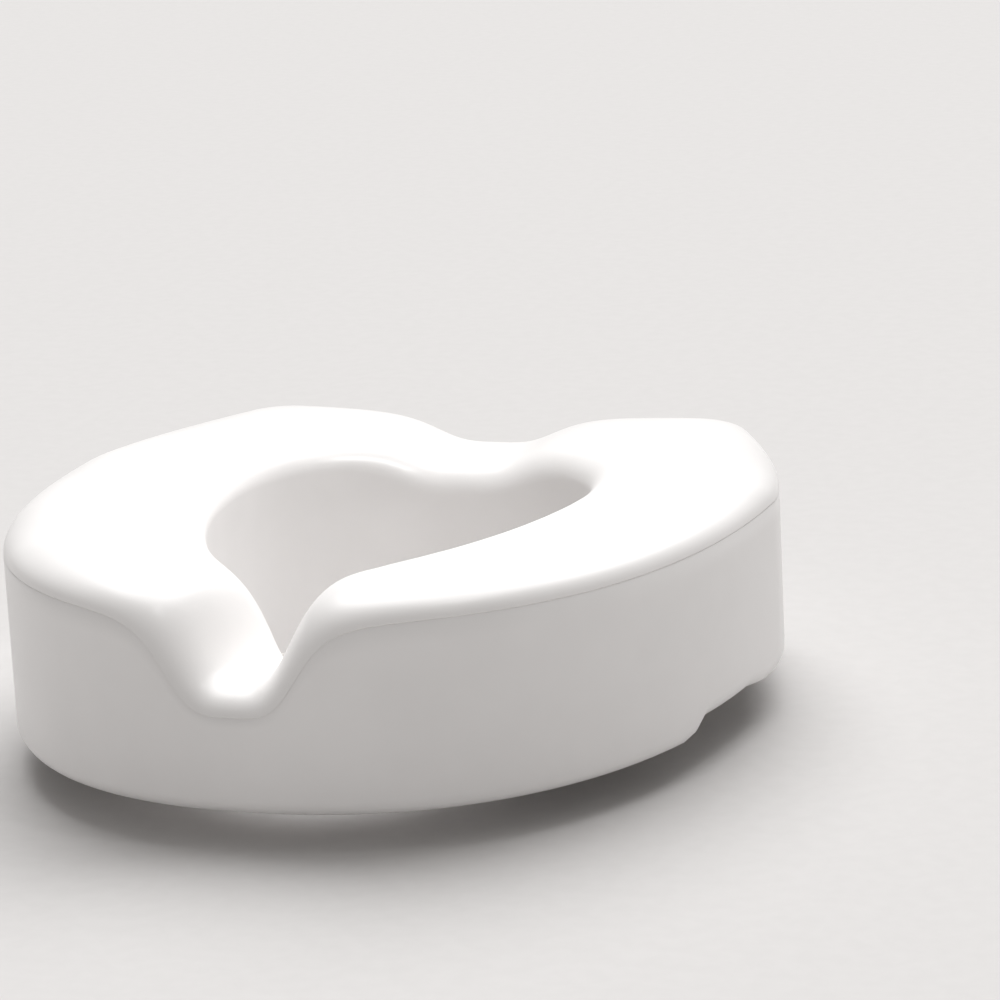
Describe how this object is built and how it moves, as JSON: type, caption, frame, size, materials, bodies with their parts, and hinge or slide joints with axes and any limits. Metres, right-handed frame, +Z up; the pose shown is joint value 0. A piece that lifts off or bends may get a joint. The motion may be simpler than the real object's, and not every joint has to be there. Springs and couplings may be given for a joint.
{
  "type": "raised toilet seat",
  "caption": "Moulded raised toilet seat with a contoured top, a hygiene recess at the front, rubber rim pads and screw clamps that hold it inside the bowl.",
  "frame": {"origin": "centre of the footprint, on the surface that the seat's chute stands on", "axes": "+Z up, +Y towards the back of the toilet, +X to the right seen from the front"},
  "size_m": [0.41, 0.4196, 0.132],
  "materials": {
    "moulded_body": "blow-moulded white polyethylene, soft semi-gloss",
    "plug": "moulded white polyethylene",
    "pad_rubber": "grey moulded rubber",
    "insert_brass": "turned brass",
    "screw_steel": "stainless steel, rolled thread",
    "knob_plastic": "moulded off-white nylon",
    "jaw_plastic": "moulded light grey nylon"
  },
  "bodies": {
    "seat": {"seat_shell": "moulded_body", "vent_plug": "plug", "rim_pad_front_left": "pad_rubber", "rim_pad_front_right": "pad_rubber", "rim_pad_rear_left": "pad_rubber", "rim_pad_rear_right": "pad_rubber", "threaded_insert_left": "insert_brass", "threaded_insert_right": "insert_brass"},
    "jaw_left": {"clamp_jaw_left": "jaw_plastic", "jaw_pad_left": "pad_rubber"},
    "hand_screw_left": {"clamp_screw_left": "screw_steel", "wing_knob_left": "knob_plastic"},
    "jaw_right": {"clamp_jaw_right": "jaw_plastic", "jaw_pad_right": "pad_rubber"},
    "hand_screw_right": {"clamp_screw_right": "screw_steel", "wing_knob_right": "knob_plastic"}
  },
  "joints": [
    {"name": "jaw_travel_left", "type": "slide", "parent": "seat", "child": "jaw_left", "axis": [-1, 0, 0], "range_m": [0, 0.0051]},
    {"name": "knob_turn_left", "type": "hinge", "parent": "jaw_left", "child": "hand_screw_left", "pos_m": [-0.1, 0.042, 0.016], "axis": [-1, 0, 0], "range_deg": [0, 1440]},
    {"name": "jaw_travel_right", "type": "slide", "parent": "seat", "child": "jaw_right", "axis": [1, 0, 0], "range_m": [0, 0.0051]},
    {"name": "knob_turn_right", "type": "hinge", "parent": "jaw_right", "child": "hand_screw_right", "pos_m": [0.1, 0.042, 0.016], "axis": [1, 0, 0], "range_deg": [0, 1440]}
  ],
  "couplings": [
    {"joint": "jaw_travel_left", "follows": "knob_turn_left", "m_per_rad": 0.00019894},
    {"joint": "jaw_travel_right", "follows": "knob_turn_right", "m_per_rad": 0.00019894}
  ]
}
